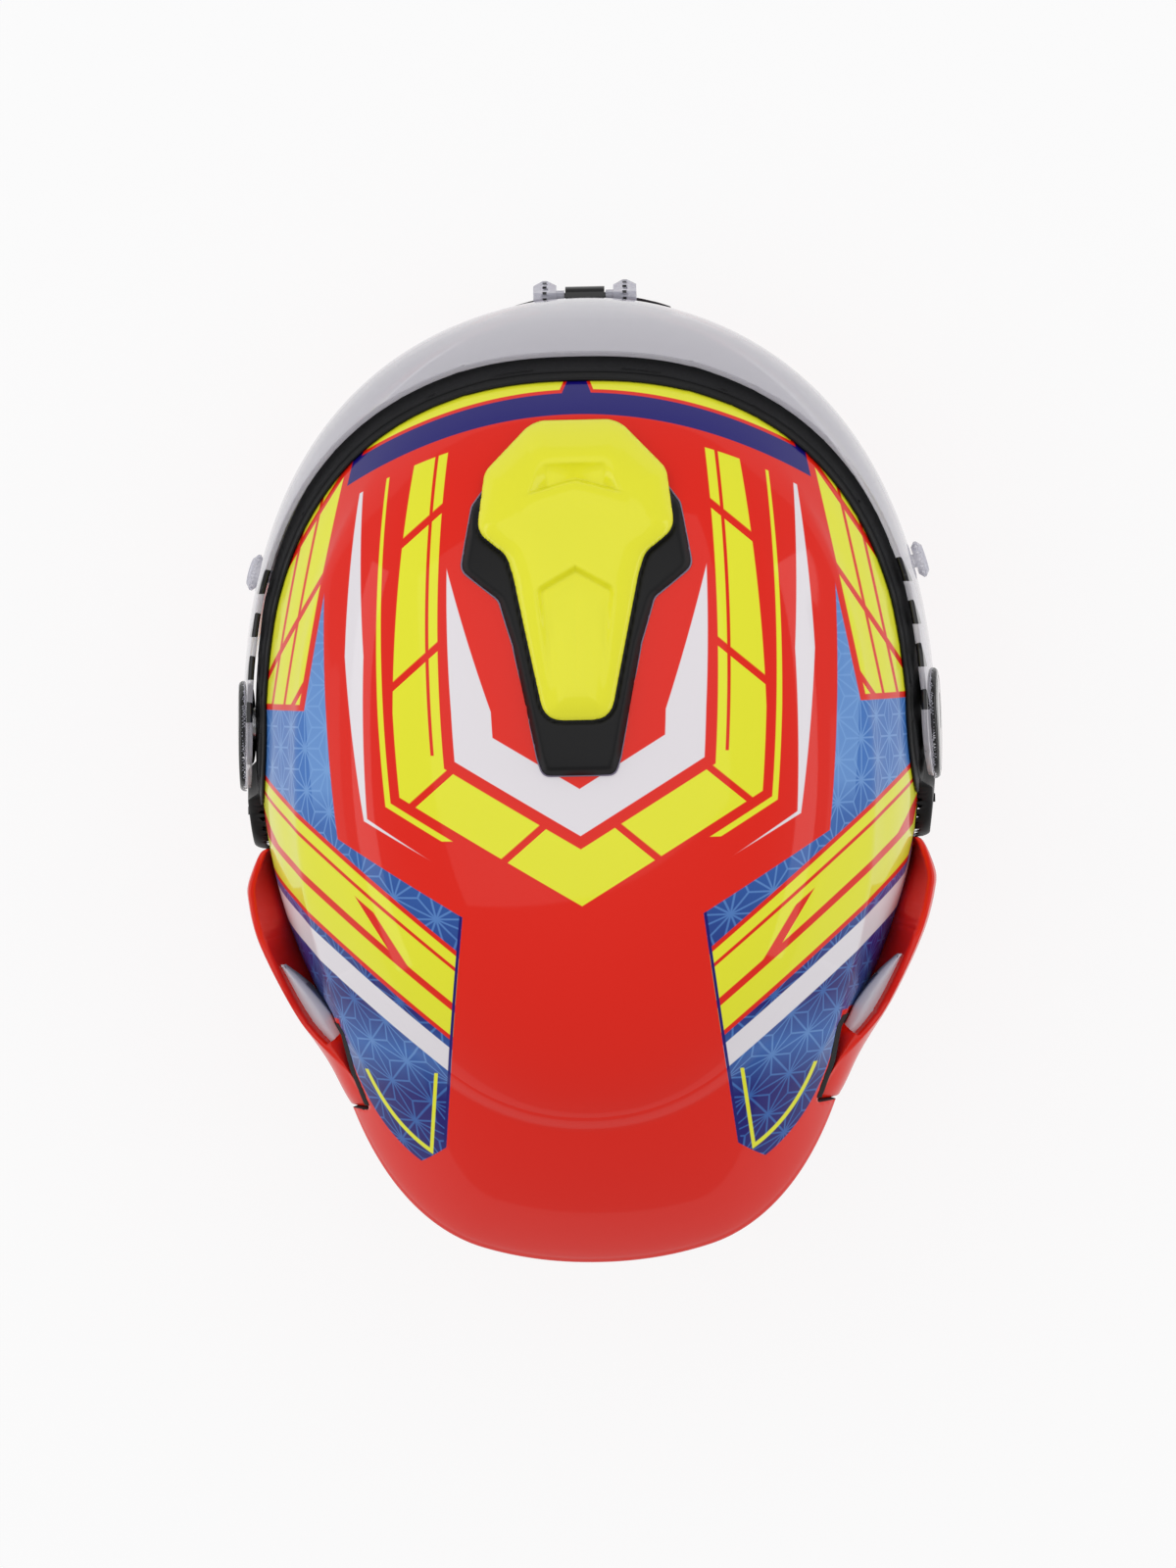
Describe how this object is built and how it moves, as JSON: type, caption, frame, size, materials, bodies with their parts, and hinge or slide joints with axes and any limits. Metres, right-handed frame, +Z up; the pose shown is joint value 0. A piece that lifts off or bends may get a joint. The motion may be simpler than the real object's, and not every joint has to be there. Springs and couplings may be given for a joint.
{
  "type": "full face motorcycle helmet",
  "caption": "Full face race helmet with a closed tinted visor, sliding crown vent, rear spoiler with side ducts, foam liner, pads and D-ring strap.",
  "frame": {"origin": "on the surface the helmet stands on, at the centre of its box in plan", "axes": "+Z up through the crown, -Y towards the face, X across the visor's pivots"},
  "size_m": [0.26, 0.364, 0.2652],
  "materials": {
    "shell_paint": "gloss",
    "red_paint": "gloss",
    "vent_paint": "gloss",
    "clear": "gloss",
    "hub_plastic": "satin",
    "black_gloss": "gloss",
    "black_plastic": "matte",
    "rubber": "matte",
    "white_plastic": "gloss",
    "foam": "matte",
    "liner": "matte",
    "metal": "satin",
    "steel": "satin",
    "webbing": "matte",
    "red_webbing": "matte"
  },
  "bodies": {
    "helmet": {"outer_shell": "shell_paint", "bottom_edge_trim": "rubber", "eye_port_gasket": "rubber", "lock_catch": "black_plastic", "side_plate_left": "black_plastic", "side_plate_right": "black_plastic", "pivot_post_left": "metal", "pivot_post_right": "metal", "pivot_cap_left": "black_gloss", "pivot_cap_right": "black_gloss", "top_vent_base": "black_plastic", "chin_vent_housing": "black_plastic", "chin_vent_grille": "black_plastic", "exhaust_grille_left": "black_plastic", "exhaust_grille_right": "black_plastic", "rear_spoiler": "red_paint", "rear_fin_left": "red_paint", "rear_fin_right": "red_paint", "duct_vane_left": "white_plastic", "duct_vane_right": "white_plastic", "crown_foam": "foam", "rear_foam_left": "foam", "rear_foam_right": "foam", "chin_foam": "foam", "crown_pad": "liner", "forehead_pad": "liner", "nape_pad": "liner", "temple_pad_left": "liner", "temple_pad_right": "liner", "cheek_pad_left": "liner", "cheek_pad_right": "liner", "neck_roll": "liner", "chin_curtain": "liner", "breath_deflector": "rubber", "strap_anchor_left": "steel", "strap_anchor_right": "steel", "strap_rivet_left": "steel", "strap_rivet_right": "steel", "strap_left": "webbing", "strap_right": "webbing", "strap_snap": "steel", "release_tab_left": "red_webbing", "release_tab_right": "red_webbing"},
    "visor": {"visor_skin": "clear", "visor_hub_left": "hub_plastic", "visor_hub_right": "hub_plastic", "tear_off_post_left": "clear", "tear_off_post_right": "clear", "lock_lug_left": "clear", "lock_lug_right": "clear"},
    "lock_bar": {"visor_lock_bar": "black_gloss"},
    "vent_cover": {"top_vent_cover": "vent_paint"},
    "chin_shutter": {"chin_vent_shutter": "black_plastic"},
    "release_left": {"visor_release_left": "black_plastic"},
    "release_right": {"visor_release_right": "black_plastic"},
    "ring_upper": {"d_ring_upper": "steel"},
    "ring_lower": {"d_ring_lower": "steel"}
  },
  "joints": [
    {"name": "visor_lift", "type": "hinge", "parent": "helmet", "child": "visor", "pos_m": [0, -0.0168, 0.142], "axis": [-1, 0, 0], "range_deg": [0, 50]},
    {"name": "visor_lock", "type": "hinge", "parent": "visor", "child": "lock_bar", "pos_m": [0, -0.175, 0.079], "axis": [-1, 0, 0], "range_deg": [0, 25], "stiffness_Nm_per_rad": 0.01},
    {"name": "top_vent_slide", "type": "hinge", "parent": "helmet", "child": "vent_cover", "pos_m": [0, -0.01343, 0.0824], "axis": [-1, 0, 0], "range_deg": [0, 4.51]},
    {"name": "chin_vent_slide", "type": "slide", "parent": "helmet", "child": "chin_shutter", "axis": [0, 0, 1], "range_m": [0, 0.008]},
    {"name": "release_slide_left", "type": "slide", "parent": "helmet", "child": "release_left", "axis": [0, 1, 0], "range_m": [0, 0.003], "stiffness_N_per_m": 60},
    {"name": "release_slide_right", "type": "slide", "parent": "helmet", "child": "release_right", "axis": [0, 1, 0], "range_m": [0, 0.003], "stiffness_N_per_m": 60},
    {"name": "ring_upper_swing", "type": "hinge", "parent": "helmet", "child": "ring_upper", "pos_m": [0.02, -0.0348, 0.025], "axis": [0, 1, 0], "range_deg": [0, 60]},
    {"name": "ring_lower_swing", "type": "hinge", "parent": "helmet", "child": "ring_lower", "pos_m": [0.02, -0.0348, 0.017], "axis": [0, -1, 0], "range_deg": [0, 35]}
  ]
}
